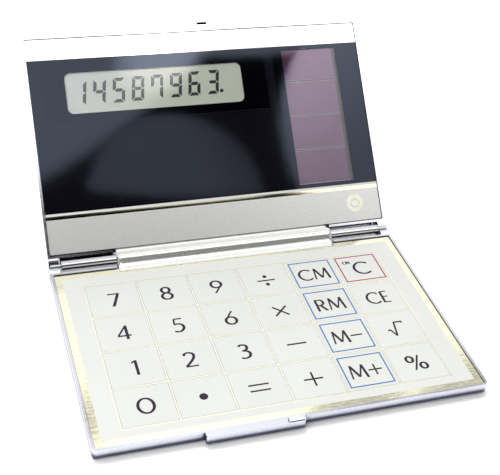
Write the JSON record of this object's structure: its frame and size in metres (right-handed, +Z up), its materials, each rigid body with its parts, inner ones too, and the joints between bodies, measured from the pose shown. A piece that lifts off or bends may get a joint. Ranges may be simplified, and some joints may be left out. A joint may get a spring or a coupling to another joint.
{
  "type": "folding pocket calculator",
  "caption": "Card-size folding solar calculator: flat keypad half in a metal tray, hinged display half with a liquid crystal window, a solar cell window and dark and gold trim.",
  "frame": {"origin": "centre of the keypad half's flat base, which rests on the table", "axes": "+Z up, +X along the hinge to the user's right, +Y away from the user towards the hinge and the display half"},
  "size_m": [0.0856, 0.0988, 0.0442],
  "materials": {
    "case_metal": "satin",
    "bright_metal": "polished",
    "hinge_steel": "brushed",
    "gold_plate": "polished",
    "key_face": "satin",
    "spacer_film": "matte",
    "board_green": "gloss",
    "dark_plastic": "matte",
    "ribbon_amber": "gloss",
    "lead_copper": "bare metal",
    "cover_film": "metallised, polished",
    "lens_dark": "gloss with fine printed lines",
    "band_metal": "satin with a polished strip",
    "window_clear": "clear",
    "polariser_film": "satin",
    "lcd_glass": "clear",
    "reflector_foil": "satin",
    "connector_rubber": "matte",
    "solar_film": "gloss",
    "solar_plate": "matte",
    "chip_black": "matte",
    "capacitor_tan": "gloss"
  },
  "bodies": {
    "keypad": {"keypad_case": "case_metal", "catch_stud": "bright_metal", "keypad_fascia": "gold_plate", "spacer_sheet": "spacer_film", "contact_board": "board_green", "keypad_carrier": "dark_plastic", "hinge_pin": "hinge_steel", "keypad_hinge": "hinge_steel", "flex_cable": "ribbon_amber", "hinge_cover": "cover_film"},
    "display": {"display_hinge_left": "bright_metal", "display_hinge_right": "bright_metal", "display_case": "case_metal", "display_frame": "dark_plastic", "upper_trim_plate": "gold_plate", "lens_panel": "lens_dark", "lower_trim_plate": "band_metal", "lcd_window": "window_clear", "solar_window": "window_clear", "lcd_front_polariser": "polariser_film", "lcd_front_glass": "lcd_glass", "lcd_rear_glass": "lcd_glass", "lcd_reflector": "reflector_foil", "lcd_connector": "connector_rubber", "solar_cell_1": "solar_film", "solar_cell_2": "solar_film", "solar_cell_3": "solar_film", "solar_cell_4": "solar_film", "solar_backing": "solar_plate", "solar_leads": "lead_copper", "main_board": "board_green", "processor": "chip_black", "buffer_capacitor": "capacitor_tan"},
    "key_7": {"key_7": "key_face"},
    "key_8": {"key_8": "key_face"},
    "key_9": {"key_9": "key_face"},
    "key_divide": {"key_divide": "key_face"},
    "key_memory_clear": {"key_memory_clear": "key_face"},
    "key_on_clear": {"key_on_clear": "key_face"},
    "key_4": {"key_4": "key_face"},
    "key_5": {"key_5": "key_face"},
    "key_6": {"key_6": "key_face"},
    "key_multiply": {"key_multiply": "key_face"},
    "key_memory_recall": {"key_memory_recall": "key_face"},
    "key_clear_entry": {"key_clear_entry": "key_face"},
    "key_1": {"key_1": "key_face"},
    "key_2": {"key_2": "key_face"},
    "key_3": {"key_3": "key_face"},
    "key_minus": {"key_minus": "key_face"},
    "key_memory_minus": {"key_memory_minus": "key_face"},
    "key_square_root": {"key_square_root": "key_face"},
    "key_0": {"key_0": "key_face"},
    "key_point": {"key_point": "key_face"},
    "key_equals": {"key_equals": "key_face"},
    "key_plus": {"key_plus": "key_face"},
    "key_memory_plus": {"key_memory_plus": "key_face"},
    "key_percent": {"key_percent": "key_face"}
  },
  "joints": [
    {"name": "lid_hinge", "type": "hinge", "parent": "keypad", "child": "display", "pos_m": [0, 0.02895, 0.00335], "axis": [1, 0, 0], "range_deg": [-6, 134], "deforming": ["flex_cable", "hinge_cover"]},
    {"name": "key_7_press", "type": "slide", "parent": "keypad", "child": "key_7", "axis": [0, 0, -1], "range_m": [0, 0.0002], "stiffness_N_per_m": 7500},
    {"name": "key_8_press", "type": "slide", "parent": "keypad", "child": "key_8", "axis": [0, 0, -1], "range_m": [0, 0.0002], "stiffness_N_per_m": 7500},
    {"name": "key_9_press", "type": "slide", "parent": "keypad", "child": "key_9", "axis": [0, 0, -1], "range_m": [0, 0.0002], "stiffness_N_per_m": 7500},
    {"name": "key_divide_press", "type": "slide", "parent": "keypad", "child": "key_divide", "axis": [0, 0, -1], "range_m": [0, 0.0002], "stiffness_N_per_m": 7500},
    {"name": "key_memory_clear_press", "type": "slide", "parent": "keypad", "child": "key_memory_clear", "axis": [0, 0, -1], "range_m": [0, 0.0002], "stiffness_N_per_m": 7500},
    {"name": "key_on_clear_press", "type": "slide", "parent": "keypad", "child": "key_on_clear", "axis": [0, 0, -1], "range_m": [0, 0.0002], "stiffness_N_per_m": 7500},
    {"name": "key_4_press", "type": "slide", "parent": "keypad", "child": "key_4", "axis": [0, 0, -1], "range_m": [0, 0.0002], "stiffness_N_per_m": 7500},
    {"name": "key_5_press", "type": "slide", "parent": "keypad", "child": "key_5", "axis": [0, 0, -1], "range_m": [0, 0.0002], "stiffness_N_per_m": 7500},
    {"name": "key_6_press", "type": "slide", "parent": "keypad", "child": "key_6", "axis": [0, 0, -1], "range_m": [0, 0.0002], "stiffness_N_per_m": 7500},
    {"name": "key_multiply_press", "type": "slide", "parent": "keypad", "child": "key_multiply", "axis": [0, 0, -1], "range_m": [0, 0.0002], "stiffness_N_per_m": 7500},
    {"name": "key_memory_recall_press", "type": "slide", "parent": "keypad", "child": "key_memory_recall", "axis": [0, 0, -1], "range_m": [0, 0.0002], "stiffness_N_per_m": 7500},
    {"name": "key_clear_entry_press", "type": "slide", "parent": "keypad", "child": "key_clear_entry", "axis": [0, 0, -1], "range_m": [0, 0.0002], "stiffness_N_per_m": 7500},
    {"name": "key_1_press", "type": "slide", "parent": "keypad", "child": "key_1", "axis": [0, 0, -1], "range_m": [0, 0.0002], "stiffness_N_per_m": 7500},
    {"name": "key_2_press", "type": "slide", "parent": "keypad", "child": "key_2", "axis": [0, 0, -1], "range_m": [0, 0.0002], "stiffness_N_per_m": 7500},
    {"name": "key_3_press", "type": "slide", "parent": "keypad", "child": "key_3", "axis": [0, 0, -1], "range_m": [0, 0.0002], "stiffness_N_per_m": 7500},
    {"name": "key_minus_press", "type": "slide", "parent": "keypad", "child": "key_minus", "axis": [0, 0, -1], "range_m": [0, 0.0002], "stiffness_N_per_m": 7500},
    {"name": "key_memory_minus_press", "type": "slide", "parent": "keypad", "child": "key_memory_minus", "axis": [0, 0, -1], "range_m": [0, 0.0002], "stiffness_N_per_m": 7500},
    {"name": "key_square_root_press", "type": "slide", "parent": "keypad", "child": "key_square_root", "axis": [0, 0, -1], "range_m": [0, 0.0002], "stiffness_N_per_m": 7500},
    {"name": "key_0_press", "type": "slide", "parent": "keypad", "child": "key_0", "axis": [0, 0, -1], "range_m": [0, 0.0002], "stiffness_N_per_m": 7500},
    {"name": "key_point_press", "type": "slide", "parent": "keypad", "child": "key_point", "axis": [0, 0, -1], "range_m": [0, 0.0002], "stiffness_N_per_m": 7500},
    {"name": "key_equals_press", "type": "slide", "parent": "keypad", "child": "key_equals", "axis": [0, 0, -1], "range_m": [0, 0.0002], "stiffness_N_per_m": 7500},
    {"name": "key_plus_press", "type": "slide", "parent": "keypad", "child": "key_plus", "axis": [0, 0, -1], "range_m": [0, 0.0002], "stiffness_N_per_m": 7500},
    {"name": "key_memory_plus_press", "type": "slide", "parent": "keypad", "child": "key_memory_plus", "axis": [0, 0, -1], "range_m": [0, 0.0002], "stiffness_N_per_m": 7500},
    {"name": "key_percent_press", "type": "slide", "parent": "keypad", "child": "key_percent", "axis": [0, 0, -1], "range_m": [0, 0.0002], "stiffness_N_per_m": 7500}
  ]
}
